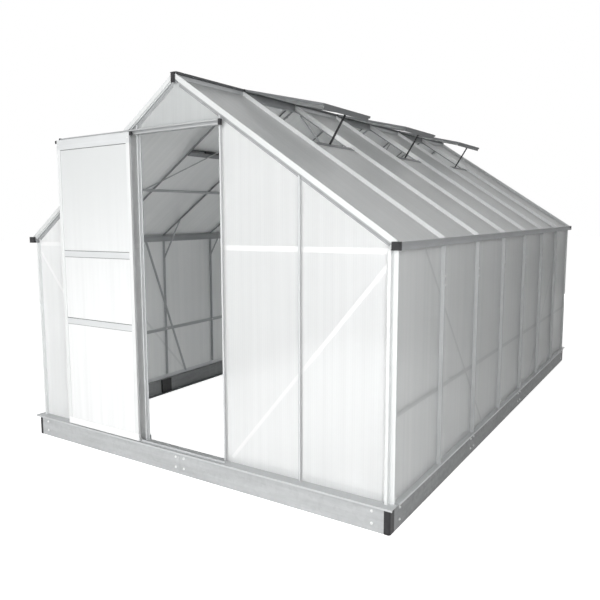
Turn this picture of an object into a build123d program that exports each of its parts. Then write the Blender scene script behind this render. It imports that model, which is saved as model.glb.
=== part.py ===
"""A walk-in apex greenhouse: aluminium glazing bars, twin-wall sheets, a steel base and one sliding door.

X runs across the front gable, Y from the front gable to the back one, and Z up.
The origin is at the middle of the footprint, on the ground.
"""

import os
from math import atan2, cos, sin, tan

from build123d import *

os.makedirs("parts", exist_ok=True)

# Folded steel base
base_width = 2544.0
base_length = 4310.0
base_height = 130.0
base_sheet = 2.0
base_top_flange = 50.0
base_foot_flange = 40.0
base_seam = 1.0
corner_cap_front_leg = 30.0
corner_cap_bevel = 7.0
splice_length = 110.0
splice_depth = 12.0

# Extruded glazing bar, the same section in walls and roof
bar_width = 25.0
rib_width = 14.0
rib_height = 22.0
gable_rib_width = 8.0
gable_rib_height = 12.0
rib_wall = 2.0
rib_crown = 1.0
web_thick = 4.0
flange_thick = 2.0
stem_width = 12.0
stem_depth = 8.0
slot_width = 6.0
slot_depth = 5.0

# Twin-wall sheets
panel_thick = 6.0

# Frame lines: how far the sheets stand behind the base's outer faces
side_inset = 12.0
gable_inset = 47.0
bay_count = 7
jamb_lap = 20.0
mid_post_share = 0.5

# Sills on the base
sill_thick = 2.0
sill_upstand = 28.0
sill_lip_reach = 16.0
sill_lip_drop = 8.0
layer_thick = 3.0
corner_wall = 3.0
corner_rib_height = 12.0
corner_rib_lap = 12.0

# Eaves and gutters
wall_height = 1169.0
gutter_overhang = 12.0
gutter_wall = 2.0
gutter_depth = 34.0
gutter_bead = 6.0
gutter_step = 6.0
gutter_ledge = 16.0
apron_drop = 34.0
stop_thick = 2.5
stop_toe = 9.0
seat_setback = 2.5
eave_overhang = 4.0
gutter_cap_length = 16.0
gutter_cap_width = 42.0
gutter_cap_lap = 2.0

# Roof and ridge
over_lintel = 50.0
verge_lift = 4.0
ridge_half = 12.0
ridge_height = 33.0
ridge_crown = 2.0
head_overrun = 10.0
ridge_slot_width = 8.0
ridge_slot_depth = 14.0
ridge_cap_thick = 8.0
ridge_cap_lap = 1.0

# Roof vents, hinged along the ridge
vent_length = 566.0
vent_side_lap = 8.0
vent_thick = 14.0
vent_rail = 22.0
vent_open_angle = 20.2
vent_neck = 10.0
vent_neck_thick = 4.0
hinge_bead_radius = 4.0
hinge_gap = 0.3
hinge_shell = 2.2
hinge_mouth = 16.0
vent_sill_width = 36.0
vent_sill_drop = 10.0
vent_sill_rise = 8.0
vent_skirt = 18.0
vent_skirt_thick = 4.0
stay_width = 14.0
stay_bar = 8.0

# Inner bars
girt_height = 532.0
girt_width = 25.0
brace_width = 22.0
brace_thick = 2.0
wall_brace_lean = 440.0
braced_post_count = 2
purlin_place = 930.0
purlin_width = 25.0
roof_brace_width = 18.0
roof_brace_end_margin = 60.0
knee_drop = 172.0
knee_foot = 18.0
knee_width = 10.0
knee_reach = 212.0
gable_rail_rise = 6.0
gable_rail_width = 25.0
gable_brace_foot = 36.0

# Doorway, track and sliding door
lintel_height = 1803.0
door_width = 634.0
door_thick = 14.0
door_clearance = 5.5
door_stile = 28.0
door_top_rail = 61.0
door_mid_rail = 36.0
door_foot_rail = 42.0
door_rail_shares = (0.366, 0.602)
door_panel_thick = 5.0
door_overlap = 6.0
track_height = 27.0
track_wall = 2.0
track_slot = 13.0
track_depth = 17.0
door_head_drop = 12.0
track_cap_thick = 14.0
track_cap_lap = 2.0
roller_width = 6.0
roller_gap = 0.3
roller_inset = 88.0
axle_radius = 2.5
axle_gap = 0.1
guide_rib_thick = 3.0
guide_rib_height = 10.0

# Worked out: across the greenhouse, from the middle
half_width = base_width / 2
half_length = base_length / 2
bar_depth = flange_thick + stem_depth
wall_out = half_width - side_inset
wall_in = wall_out - panel_thick
wall_face = wall_out + rib_height
post_in = wall_in - bar_depth
layer_in = post_in - layer_thick
jamb_place = door_width / 2 - jamb_lap
mid_post_place = jamb_place + mid_post_share * (post_in - jamb_place)
sill_out = half_width + sill_lip_reach

# Worked out: along the greenhouse, from the middle
gable_out = half_length - gable_inset
gable_in = gable_out - panel_thick
gable_face = gable_out + rib_height
corner_in = gable_in - bar_depth
gable_layer_in = corner_in - layer_thick
gable_sill_out = half_length + sill_lip_reach
frame_half = (corner_in + gable_face) / 2
bay_pitch = 2 * frame_half / bay_count
bar_places = [bay_pitch * count - frame_half for count in range(bay_count + 1)]
post_places = bar_places[1:-1]
vent_bays = range(1, bay_count, 2)

# Worked out: heights
post_foot = base_height + sill_thick
post_top = post_foot + wall_height
gutter_floor = post_top + gutter_wall
gutter_top = gutter_floor + gutter_depth
gutter_out = wall_face + gutter_overhang
seat_x = wall_out - seat_setback
seat_z = gutter_floor + bar_depth + stop_toe
lintel_mid = post_foot + lintel_height
pitch = atan2(lintel_mid + over_lintel - seat_z, seat_x - jamb_place)
apex_z = seat_z + seat_x * tan(pitch)
slope_end = seat_x / cos(pitch)
slope_reach = slope_end + eave_overhang
rib_top = panel_thick + rib_height
ridge_low = apex_z - bar_depth / cos(pitch) - ridge_half * tan(pitch)
ridge_top = apex_z + ridge_height
vent_mid = rib_top + vent_thick / 2
vent_sill_along = vent_length - vent_sill_width

# Worked out: the track on the gable and the door that slides in front of it
track_front = gable_face + track_depth
track_foot = lintel_mid - track_height / 2
track_head = lintel_mid + track_height / 2
door_back = track_front + door_clearance
door_front = door_back + door_thick
door_mid = (door_back + door_front) / 2
door_foot = post_foot + door_clearance
door_head = track_head - door_head_drop
door_travel = door_width - door_overlap
door_left = -door_travel - door_width / 2
door_right = door_left + door_width
track_left = door_left + track_cap_thick
track_right = jamb_place + bar_width / 2

sides = {-1: "left", 1: "right"}
ends = {-1: "front", 1: "back"}


def keep(piece, name):
    """Labels one finished piece and writes it."""
    piece.part.label = name
    export_step(piece.part, f"parts/{name}.step")


def downhill(side):
    """The way down the left (-1) or right (1) roof slope."""
    return Vector(side * cos(pitch), 0, -sin(pitch))


def uphill_normal(side):
    """The way straight out of the left or right roof slope."""
    return Vector(side * sin(pitch), 0, cos(pitch))


def roof_point(side, along, lift, y=0):
    """A point so far down the slope from the apex, lifted off the underside of the roof sheets."""
    return Vector(0, y, apex_z) + downhill(side) * along + uphill_normal(side) * lift


def roof_plane(side, y, along):
    """The section plane of a roof bar: local x along the ridge, local y out of the roof."""
    return Plane(origin=roof_point(side, along, 0, y), x_dir=(0, side, 0), z_dir=downhill(side))


def upright_plane(x, y, outward):
    """The section plane of a wall post: local y points out of the wall."""
    return Plane(origin=(x, y, post_foot), x_dir=outward.cross(Vector(0, 0, 1)), z_dir=(0, 0, 1))


def length_plane(side, half):
    """A section seen along Y: local x out from the middle, local y up."""
    return Plane(origin=(0, side * half, 0), x_dir=(side, 0, 0), z_dir=(0, -side, 0))


def width_plane(end, start):
    """A section seen along X: local x out from the middle, local y up."""
    return Plane(origin=(start, 0, 0), x_dir=(0, end, 0), z_dir=(end, 0, 0))


def gable_plane(end, out):
    """A gable's own plane at a distance from the middle: local y is up, and it faces out."""
    return Plane(origin=(0, end * out, 0), x_dir=(-end, 0, 0), z_dir=(0, end, 0))


def side_plane(side, out):
    """A side wall's own plane at a distance from the middle: local x along Y, local y up."""
    return Plane(origin=(side * out, 0, 0), x_dir=(0, side, 0), z_dir=(side, 0, 0))


def slab(low_x, high_x, low_y, high_y, mode=Mode.ADD):
    """A rectangle of the sketch at hand, by its edges."""
    with Locations(((low_x + high_x) / 2, (low_y + high_y) / 2)):
        Rectangle(high_x - low_x, high_y - low_y, mode=mode)


def under_roof(x, drop):
    """The height of a line under the roof sheets, at a distance from the middle."""
    return apex_z - drop / cos(pitch) - abs(x) * tan(pitch)


def inner_section():
    """The glazing bar behind the sheets: a flange that they lie on and a stem with a bolt slot."""
    with BuildSketch() as section:
        slab(-bar_width / 2, bar_width / 2, -flange_thick, 0)
        slab(-stem_width / 2, stem_width / 2, -bar_depth, -flange_thick)
        slab(-slot_width / 2, slot_width / 2, -bar_depth, slot_depth - bar_depth, mode=Mode.SUBTRACT)
    return section.sketch


def outer_section(width, height):
    """The glazing bar between and over the sheets: a web and a hollow box rib with a crowned top."""
    top = panel_thick + height
    with BuildSketch() as section:
        slab(-web_thick / 2, web_thick / 2, 0, panel_thick)
        with BuildLine():
            brim = Polyline(
                (width / 2, top - rib_crown),
                (width / 2, panel_thick),
                (-width / 2, panel_thick),
                (-width / 2, top - rib_crown),
            )
            ThreePointArc(brim @ 1, (0, top), brim @ 0)
        make_face()
        hollow = width / 2 - rib_wall
        slab(-hollow, hollow, panel_thick + rib_wall, top - rib_crown - rib_wall, mode=Mode.SUBTRACT)
    return section.sketch


def verge_slab(outward, near, far, low, high):
    """A rectangle of a gable rafter's section, by its distances from the middle of the greenhouse."""
    edges = sorted((outward * (near - frame_half), outward * (far - frame_half)))
    slab(edges[0], edges[1], low, high)


def ridge_space():
    """The ridge bar's place between the two slopes, which the bars and sheets are cut to."""
    with BuildSketch() as section:
        slab(-ridge_half, ridge_half, ridge_low - bar_depth, ridge_top + rib_height)
    return section.sketch


# Base of folded steel channels in lengths that meet at seams
def base_section(face):
    """A channel with its web outside and its flanges turned in."""
    with BuildSketch() as section:
        slab(face - base_sheet, face, 0, base_height)
        slab(face - base_top_flange, face - base_sheet, base_height - base_sheet, base_height)
        slab(face - base_foot_flange, face - base_sheet, 0, base_sheet)
    return section.sketch


side_base_half = half_length - base_top_flange
front_base_half = half_width - corner_cap_front_leg
side_seams = [post_places[1], post_places[3]]


def lengths(half, seams):
    """Cuts a run at its seams, with half of the seam's width off each side."""
    marks = [-half - base_seam / 2, *seams, half + base_seam / 2]
    return [(low + base_seam / 2, high - base_seam / 2) for low, high in zip(marks, marks[1:])]


with BuildPart() as base_ends:
    for end in ends:
        for low, high in lengths(front_base_half, [0]):
            with BuildSketch(width_plane(end, low if end > 0 else high)):
                add(base_section(half_length))
            extrude(amount=high - low)
keep(base_ends, "base_ends")

with BuildPart() as base_sides:
    for side in sides:
        for low, high in lengths(side_base_half, side_seams):
            plane = length_plane(side, side * (high if side > 0 else low))
            with BuildSketch(plane):
                add(base_section(half_width))
            extrude(amount=high - low)
keep(base_sides, "base_sides")

with BuildPart() as corner_caps:
    for side in sides:
        for end in ends:
            with BuildSketch():
                edges_x = sorted((side * front_base_half, side * half_width))
                edges_y = sorted((end * side_base_half, end * half_length))
                slab(*edges_x, *edges_y)
            extrude(amount=base_height)
            corner = corner_caps.edges(Select.LAST).filter_by(Axis.Z)
            corner = corner.sort_by(lambda edge: side * edge.center().X + end * edge.center().Y)[-1]
            chamfer(corner, length=corner_cap_bevel)
keep(corner_caps, "base_corner_caps")

with BuildPart() as connectors:
    splice_top = base_height - base_sheet
    for side in sides:
        for y in side_seams:
            with BuildSketch(Plane.XY.offset(base_sheet)):
                edges_x = sorted((side * (half_width - base_sheet - splice_depth), side * (half_width - base_sheet)))
                slab(*edges_x, y - splice_length / 2, y + splice_length / 2)
            extrude(amount=splice_top - base_sheet)
    for end in ends:
        with BuildSketch(Plane.XY.offset(base_sheet)):
            edges_y = sorted((end * (half_length - base_sheet - splice_depth), end * (half_length - base_sheet)))
            slab(-splice_length / 2, splice_length / 2, *edges_y)
        extrude(amount=splice_top - base_sheet)
keep(connectors, "base_connectors")

# Sills: a plate on the base with a drip lip outside and an upstand inside the posts
for end, name in ends.items():
    with BuildPart() as sill:
        with BuildSketch(width_plane(end, -end * sill_out)):
            slab(gable_layer_in, gable_sill_out, base_height, post_foot)
            slab(gable_sill_out - sill_thick, gable_sill_out, base_height - sill_lip_drop, base_height)
        extrude(amount=2 * sill_out)
        runs = [(-layer_in, layer_in)]
        if name == "front":
            doorway = jamb_place - bar_width / 2
            runs = [(-layer_in, -doorway), (doorway, layer_in)]
        for low, high in runs:
            with BuildSketch(width_plane(end, low if end > 0 else high)):
                slab(gable_layer_in, corner_in, post_foot, post_foot + sill_upstand)
            extrude(amount=high - low)
        if name == "front":
            rib_low = door_back - door_clearance - guide_rib_thick
            with BuildSketch(width_plane(end, door_width / 2)):
                slab(rib_low, rib_low + guide_rib_thick, post_foot, post_foot + guide_rib_height)
            extrude(amount=door_width / 2 - door_left)
    keep(sill, f"sill_{name}")

for side, name in sides.items():
    with BuildPart() as sill:
        with BuildSketch(length_plane(side, gable_layer_in)):
            slab(layer_in, sill_out, base_height, post_foot)
            slab(sill_out - sill_thick, sill_out, base_height - sill_lip_drop, base_height)
            slab(layer_in, post_in, post_foot, post_foot + sill_upstand)
        extrude(amount=2 * gable_layer_in)
    keep(sill, f"sill_{name}")

# Corner posts: square tubes that the sheets butt into, with one rib to the side and one to the gable
with BuildPart() as corner_posts:
    for side in sides:
        for end in ends:
            with BuildSketch(Plane.XY.offset(post_foot)):
                tube_x = sorted((side * post_in, side * wall_out))
                tube_y = sorted((end * corner_in, end * gable_out))
                slab(*tube_x, *tube_y)
                side_rib_x = sorted((side * wall_out, side * (wall_out + corner_rib_height)))
                slab(*side_rib_x, *sorted((end * (gable_out - rib_width), end * gable_out)))
                gable_rib_low = post_in - corner_rib_lap
                gable_rib_x = sorted((side * gable_rib_low, side * (gable_rib_low + rib_width)))
                slab(*gable_rib_x, *sorted((end * gable_out, end * gable_face)))
                slab(*tube_x, *sorted((end * gable_out, end * (gable_out + flange_thick))))
                hollow_x = (tube_x[0] + corner_wall, tube_x[1] - corner_wall)
                hollow_y = (tube_y[0] + corner_wall, tube_y[1] - corner_wall)
                slab(*hollow_x, *hollow_y, mode=Mode.SUBTRACT)
            extrude(amount=wall_height)
keep(corner_posts, "corner_posts")

# Side walls
bay_edges = []
for low, high in zip(bar_places, bar_places[1:]):
    low_edge = -corner_in if low == bar_places[0] else low + web_thick / 2
    high_edge = corner_in if high == bar_places[-1] else high - web_thick / 2
    bay_edges.append((low_edge, high_edge))

with BuildPart() as side_posts:
    for side in sides:
        for y in post_places:
            with BuildSketch(upright_plane(side * wall_in, y, Vector(side, 0, 0))):
                add(inner_section())
                add(outer_section(rib_width, rib_height))
            extrude(amount=wall_height)
keep(side_posts, "side_posts")

for side, name in sides.items():
    with BuildPart() as panels:
        for low, high in bay_edges:
            with BuildSketch(Plane.XY.offset(post_foot)):
                slab(*sorted((side * wall_in, side * wall_out)), low, high)
            extrude(amount=wall_height)
    keep(panels, f"{name}_panels")

with BuildPart() as girts:
    for side in sides:
        with BuildSketch(length_plane(side, corner_in)):
            slab(layer_in, post_in, girt_height, girt_height + girt_width)
        extrude(amount=2 * corner_in)
keep(girts, "side_girts")

with BuildPart() as wall_braces:
    brace_head = post_top - apron_drop / 2
    brace_low = post_foot + sill_upstand / 2
    for side in sides:
        for end in ends:
            for count in range(1, braced_post_count + 1):
                y = end * bar_places[-1 - count]
                head = y + end * wall_brace_lean / 2
                foot = y - end * wall_brace_lean / 2
                with BuildSketch(side_plane(side, layer_in - brace_thick)):
                    Polygon(
                        (side * foot - brace_width / 2, brace_low),
                        (side * foot + brace_width / 2, brace_low),
                        (side * head + brace_width / 2, brace_head),
                        (side * head - brace_width / 2, brace_head),
                        align=None,
                    )
                extrude(amount=brace_thick)
keep(wall_braces, "wall_braces")

# Knee braces from each post to its rafter
with BuildPart() as knees:
    knee_low = post_top - knee_drop
    top_low = roof_point(1, slope_end - knee_reach, -bar_depth)
    top_high = roof_point(1, slope_end - knee_reach - knee_foot, -bar_depth)
    for side in sides:
        for y in post_places:
            with BuildSketch(length_plane(side, side * y + knee_width / 2)):
                Polygon(
                    (post_in, knee_low),
                    (post_in, knee_low + knee_foot),
                    (top_low.X, top_low.Z),
                    (top_high.X, top_high.Z),
                    align=None,
                )
            extrude(amount=knee_width)
keep(knees, "knee_braces")

# Gutters: stepped trough outside the posts, apron inside them, and a stop that the rafter feet butt on
stop_head = roof_point(1, slope_end, 0)
stop_back = roof_point(1, slope_end + stop_thick, 0)
stop_head_foot = stop_head - uphill_normal(1) * ((stop_head.Z - gutter_floor) / cos(pitch))
stop_back_foot = stop_back - uphill_normal(1) * ((stop_back.Z - gutter_floor) / cos(pitch))
ledge = gutter_floor + gutter_ledge
step_out = gutter_out - gutter_step
for side, name in sides.items():
    with BuildPart() as gutter:
        with BuildSketch(length_plane(side, gable_face)):
            slab(post_in, gutter_out, post_top, gutter_floor)
            slab(gutter_out - gutter_wall, gutter_out, gutter_floor, ledge)
            slab(step_out - gutter_wall, gutter_out, ledge - gutter_wall, ledge)
            slab(step_out - gutter_wall, step_out, ledge, gutter_top)
            slab(step_out, gutter_out, gutter_top - gutter_bead, gutter_top)
            Polygon(
                (stop_head.X, stop_head.Z),
                (stop_back.X, stop_back.Z),
                (stop_back_foot.X, stop_back_foot.Z),
                (stop_head_foot.X, stop_head_foot.Z),
                align=None,
            )
        extrude(amount=2 * gable_face)
        with BuildSketch(length_plane(side, corner_in)):
            slab(layer_in, post_in, post_top - apron_drop, gutter_floor)
        extrude(amount=2 * corner_in)
    keep(gutter, f"{name}_gutter")

with BuildPart() as gutter_caps:
    cap_high = gutter_out + gutter_cap_lap
    cap_low = cap_high - gutter_cap_width
    for side in sides:
        for end in ends:
            with BuildSketch(gable_plane(end, gable_face)):
                edges_x = sorted((-end * side * cap_low, -end * side * cap_high))
                slab(*edges_x, post_top, gutter_top + gutter_cap_lap)
            extrude(amount=gutter_cap_length)
keep(gutter_caps, "gutter_end_caps")

# Roof bars, sheets, vent sills and purlins on both slopes
with BuildPart() as bars:
    for side in sides:
        for y in post_places:
            with BuildSketch(roof_plane(side, y, 0)):
                add(inner_section())
            extrude(amount=slope_end)
            with BuildSketch(roof_plane(side, y, -head_overrun)):
                add(outer_section(rib_width, rib_height))
            extrude(amount=slope_reach + head_overrun)
    with BuildSketch(length_plane(1, gable_face)):
        add(ridge_space())
    extrude(amount=2 * gable_face, mode=Mode.SUBTRACT)
keep(bars, "roof_bars")

roof_edge = gable_face - rib_width
with BuildPart() as roof_panels:
    for side in sides:
        for count, (low, high) in enumerate(zip(bar_places, bar_places[1:])):
            low_edge = -roof_edge if low == bar_places[0] else low + web_thick / 2
            high_edge = roof_edge if high == bar_places[-1] else high - web_thick / 2
            start = vent_length if count in vent_bays else 0
            with BuildSketch(roof_plane(side, (low_edge + high_edge) / 2, start)):
                slab((low_edge - high_edge) / 2, (high_edge - low_edge) / 2, 0, panel_thick)
            extrude(amount=slope_reach - start)
    with BuildSketch(length_plane(1, gable_face)):
        add(ridge_space())
    extrude(amount=2 * gable_face, mode=Mode.SUBTRACT)
keep(roof_panels, "roof_panels")

vent_places = [(bar_places[count] + bar_places[count + 1]) / 2 for count in vent_bays]
with BuildPart() as vent_sills:
    sill_half = (bay_pitch - bar_width) / 2
    for side in sides:
        for y in vent_places:
            with BuildSketch(roof_plane(side, y, vent_sill_along)):
                slab(-sill_half, sill_half, -vent_sill_drop, vent_sill_rise)
            extrude(amount=vent_sill_width)
keep(vent_sills, "vent_sills")

with BuildPart() as purlins:
    for side in sides:
        with BuildSketch(roof_plane(side, 0, purlin_place)):
            slab(-corner_in, corner_in, -bar_depth - layer_thick, -bar_depth)
        extrude(amount=purlin_width)
keep(purlins, "purlins")

# Wind braces under the purlins, from the eaves corners up to the ridge
with BuildPart() as roof_braces:
    brace_lift = -bar_depth - layer_thick - brace_thick
    for side in sides:
        plane = Plane(
            origin=roof_point(side, 0, brace_lift),
            x_dir=(0, side, 0),
            z_dir=uphill_normal(side),
        )
        for end in ends:
            eave = (end * (corner_in - roof_brace_end_margin), slope_end - roof_brace_end_margin)
            top = (end * bar_places[-3], ridge_half + roof_brace_end_margin)
            with BuildSketch(plane):
                Polygon(
                    (side * eave[0] - roof_brace_width / 2, -eave[1]),
                    (side * eave[0] + roof_brace_width / 2, -eave[1]),
                    (side * top[0] + roof_brace_width / 2, -top[1]),
                    (side * top[0] - roof_brace_width / 2, -top[1]),
                    align=None,
                )
            extrude(amount=brace_thick)
keep(roof_braces, "roof_braces")

# Gable rafters: a plate over the gable sheets, a rib along the verge, a stem inside and a lip outside
with BuildPart() as rafters:
    for end in ends:
        for side in sides:
            outward = end * side
            with BuildSketch(roof_plane(side, end * frame_half, 0)):
                verge_slab(outward, corner_in, roof_edge + web_thick, -flange_thick, 0)
                verge_slab(outward, corner_in, gable_in, -bar_depth, -flange_thick)
                verge_slab(outward, gable_out, gable_out + flange_thick, -bar_depth, -flange_thick)
            extrude(amount=slope_end)
            with BuildSketch(roof_plane(side, end * frame_half, -head_overrun)):
                verge_slab(outward, roof_edge, roof_edge + web_thick, 0, verge_lift)
                verge_slab(outward, roof_edge, gable_face, verge_lift, rib_top)
            extrude(amount=slope_reach + head_overrun)
    with BuildSketch(length_plane(1, gable_face)):
        add(ridge_space())
    extrude(amount=2 * gable_face, mode=Mode.SUBTRACT)
keep(rafters, "gable_rafters")

# Ridge: an upright bar between the rafter heads, with a hinge groove along each upper edge
groove_radius = hinge_bead_radius + hinge_gap
groove_shell = groove_radius + hinge_shell


def flat(point):
    """A roof point's place in a section seen along Y."""
    return (point.X, point.Z)


def ridge_outline():
    """The section of the ridge bar."""
    with BuildSketch() as section:
        shoulder = (ridge_half, ridge_top - ridge_crown)
        half = [(ridge_half, ridge_low), shoulder, (ridge_half - ridge_crown, ridge_top)]
        Polygon(*half, *[(-x, z) for x, z in reversed(half)], align=None)
        for side in sides:
            hinge = flat(roof_point(side, 0, vent_mid))
            with Locations(hinge):
                Circle(groove_shell)
            slab(*sorted((side * ridge_half, hinge[0])), hinge[1] - hinge_shell, hinge[1] + groove_shell)
        for side in sides:
            hinge = roof_point(side, 0, vent_mid)
            mouth_low = hinge - uphill_normal(side) * groove_radius
            mouth_high = hinge + uphill_normal(side) * hinge_mouth
            reach = downhill(side) * hinge_mouth
            with Locations(flat(hinge)):
                Circle(groove_radius, mode=Mode.SUBTRACT)
            mouth = [flat(mouth_low), flat(mouth_low + reach), flat(mouth_high + reach), flat(mouth_high)]
            Polygon(*mouth, align=None, mode=Mode.SUBTRACT)
        slot = ridge_slot_width / 2
        slab(-slot, slot, ridge_low, ridge_low + ridge_slot_depth, mode=Mode.SUBTRACT)
    return section.sketch


with BuildPart() as ridge:
    with BuildSketch(length_plane(1, gable_face)):
        add(ridge_outline())
    extrude(amount=2 * gable_face)
keep(ridge, "ridge")

with BuildPart() as ridge_caps:
    for end in ends:
        with BuildSketch(gable_plane(end, gable_face)):
            cap_half = ridge_half + ridge_cap_lap
            slab(-cap_half, cap_half, ridge_low, ridge_top + ridge_cap_lap)
        extrude(amount=ridge_cap_thick)
        cap_face = ridge_caps.faces(Select.LAST).sort_by(lambda face: end * face.center().Y)[-1]
        chamfer(cap_face.edges(), length=ridge_crown)
keep(ridge_caps, "ridge_end_caps")

# Gable posts, sheets, rails and braces
for end, name in ends.items():
    with BuildPart() as posts:
        for x in (-mid_post_place, -jamb_place, jamb_place, mid_post_place):
            with BuildSketch(upright_plane(x, end * gable_in, Vector(0, end, 0))):
                add(inner_section())
                add(outer_section(gable_rib_width, gable_rib_height))
            extrude(amount=apex_z - post_foot)
        for side in sides:
            roof_cut = Plane(origin=roof_point(side, 0, -bar_depth), z_dir=uphill_normal(side))
            split(bisect_by=roof_cut, keep=Keep.BOTTOM)
    keep(posts, f"{name}_posts")


def side_sheet(low, high):
    """A gable sheet between two uprights, cut to the slope at its top."""
    low_x = low + web_thick / 2
    high_x = high - web_thick / 2
    foot = [(low_x, post_foot), (high_x, post_foot)]
    return foot + [(high_x, under_roof(high_x, flange_thick)), (low_x, under_roof(low_x, flange_thick))]


def middle_sheet(foot):
    """The gable sheet under the ridge, from a foot height up."""
    edge = jamb_place - web_thick / 2
    ridge_edge = (apex_z - flange_thick / cos(pitch) - ridge_low) / tan(pitch)
    half = [(edge, foot), (edge, under_roof(edge, flange_thick)), (ridge_edge, ridge_low)]
    return half + [(-x, z) for x, z in reversed(half)]


gable_marks = [jamb_place, mid_post_place, post_in + web_thick / 2]
gable_bays = list(zip(gable_marks, gable_marks[1:]))
for side, name in sides.items():
    with BuildPart() as panels:
        for low, high in gable_bays:
            with BuildSketch(gable_plane(-1, gable_in)):
                Polygon(*[(side * x, z) for x, z in side_sheet(low, high)], align=None)
            extrude(amount=panel_thick)
    keep(panels, f"front_{name}_panels")

with BuildPart() as top_panel:
    with BuildSketch(gable_plane(-1, gable_in)):
        Polygon(*middle_sheet(lintel_mid + web_thick / 2), align=None)
    extrude(amount=panel_thick)
keep(top_panel, "front_top_panel")

with BuildPart() as back_panels:
    with BuildSketch(gable_plane(1, gable_in)):
        Polygon(*middle_sheet(post_foot), align=None)
        for side in sides:
            for low, high in gable_bays:
                Polygon(*[(side * x, z) for x, z in side_sheet(low, high)], align=None)
    extrude(amount=panel_thick)
keep(back_panels, "back_panels")

with BuildPart() as gable_rails:
    rail_high = post_top + gable_rail_rise
    door_edge = jamb_place - bar_width / 2
    for end, low, high in [(1, -layer_in, layer_in), (-1, -layer_in, -door_edge), (-1, door_edge, layer_in)]:
        with BuildSketch(width_plane(end, low if end > 0 else high)):
            slab(gable_layer_in, corner_in, rail_high - gable_rail_width, rail_high)
        extrude(amount=high - low)
keep(gable_rails, "gable_rails")

with BuildPart() as gable_braces:
    brace_foot = post_foot + sill_upstand
    brace_head = post_top - apron_drop - brace_width / 2
    foot_x = jamb_place + gable_brace_foot
    head_x = wall_in - brace_width
    for end in ends:
        for side in sides:
            with BuildSketch(gable_plane(end, corner_in - brace_thick)):
                Polygon(
                    (side * foot_x, brace_foot),
                    (side * (foot_x + brace_width), brace_foot),
                    (side * (head_x + brace_width), brace_head),
                    (side * head_x, brace_head),
                    align=None,
                )
            extrude(amount=brace_thick)
keep(gable_braces, "gable_braces")


# Roof vents: a rail frame round a sheet, with a bead along its top that turns in the ridge groove
leaf_half = bay_pitch / 2 + vent_side_lap
bead_half = leaf_half - vent_rail
skirt_half = (bay_pitch - bar_width) / 2
vent_angles = {-1: 0, 1: vent_open_angle}


def leaf_along(side):
    """The way down a vent leaf, lifted off its slope by its angle."""
    return downhill(side).rotate(Axis.Y, -side * vent_angles[side])


def leaf_normal(side):
    """The way straight out of a vent leaf."""
    return uphill_normal(side).rotate(Axis.Y, -side * vent_angles[side])


def leaf_plane(side, y, thick):
    """The underside of a leaf's layer that lies about the hinge line: local y up the leaf."""
    hinge = roof_point(side, 0, vent_mid, y)
    return Plane(origin=hinge - leaf_normal(side) * (thick / 2), x_dir=(0, side, 0), z_dir=leaf_normal(side))


with BuildPart() as vent_frames:
    for side in sides:
        for y in vent_places:
            with BuildSketch(leaf_plane(side, y, vent_thick)):
                slab(-leaf_half, leaf_half, -vent_length, -vent_neck)
                slab(-bead_half, bead_half, vent_rail - vent_length, -vent_neck - vent_rail, mode=Mode.SUBTRACT)
            extrude(amount=vent_thick)
            bead_start = roof_point(side, 0, vent_mid, y - bead_half)
            with BuildSketch(Plane(origin=bead_start, z_dir=(0, 1, 0))):
                Circle(hinge_bead_radius)
            extrude(amount=2 * bead_half)
            with BuildSketch(leaf_plane(side, y, vent_neck_thick)):
                slab(-bead_half, bead_half, -vent_neck, 0)
            extrude(amount=vent_neck_thick)
            with BuildSketch(leaf_plane(side, y, vent_thick)):
                slab(-skirt_half, skirt_half, -vent_length, vent_skirt_thick - vent_length)
            extrude(amount=-vent_skirt)
keep(vent_frames, "vent_frames")

with BuildPart() as vent_panels:
    for side in sides:
        for y in vent_places:
            with BuildSketch(leaf_plane(side, y, panel_thick)):
                slab(-bead_half, bead_half, vent_rail - vent_length, -vent_neck - vent_rail)
            extrude(amount=panel_thick)
keep(vent_panels, "vent_panels")

# Stays: propped between sill and leaf on the open vents, laid along the sill on the closed ones
with BuildPart() as stays:
    rail_mid = vent_length - vent_rail / 2
    for y in vent_places:
        leaf_low = roof_point(1, 0, vent_mid) - leaf_normal(1) * (vent_thick / 2)
        prop = [
            roof_point(1, vent_sill_along, vent_sill_rise),
            roof_point(1, vent_sill_along + stay_bar, vent_sill_rise),
            leaf_low + leaf_along(1) * (rail_mid + stay_bar / 2),
            leaf_low + leaf_along(1) * (rail_mid - stay_bar / 2),
        ]
        with BuildSketch(length_plane(1, y + stay_width / 2)):
            Polygon(*[flat(point) for point in prop], align=None)
        extrude(amount=stay_width)
        with BuildSketch(roof_plane(-1, y, vent_sill_along - stay_bar)):
            Rectangle(vent_length / 2, stay_width)
        extrude(amount=stay_bar)
keep(stays, "vent_stays")

# Doorway: lintel between the jambs and a channel track on it, open to the front, that the rollers run in
with BuildPart() as lintel:
    lintel_half = jamb_place - bar_width / 2
    plane = Plane(origin=(-lintel_half, -gable_in, lintel_mid), x_dir=(0, 0, 1), z_dir=(1, 0, 0))
    with BuildSketch(plane):
        add(inner_section())
        add(outer_section(rib_width, rib_height))
    extrude(amount=2 * lintel_half)
keep(lintel, "door_lintel")

track_back = gable_face + track_wall
track_lip = track_front - track_wall
with BuildPart() as track:
    with BuildSketch(width_plane(-1, track_right)):
        slab(gable_face, track_front, track_foot, track_head)
        slab(track_back, track_lip, track_foot + track_wall, track_head - track_wall, mode=Mode.SUBTRACT)
        slab(track_lip, track_front, lintel_mid - track_slot / 2, lintel_mid + track_slot / 2, mode=Mode.SUBTRACT)
    extrude(amount=track_right - track_left)
keep(track, "door_track")

with BuildPart() as track_caps:
    for start in (track_right + track_cap_thick, track_left):
        with BuildSketch(width_plane(-1, start)):
            slab(gable_face, track_front, track_foot - track_cap_lap, track_head + track_cap_lap)
        extrude(amount=track_cap_thick)
keep(track_caps, "track_end_caps")

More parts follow.
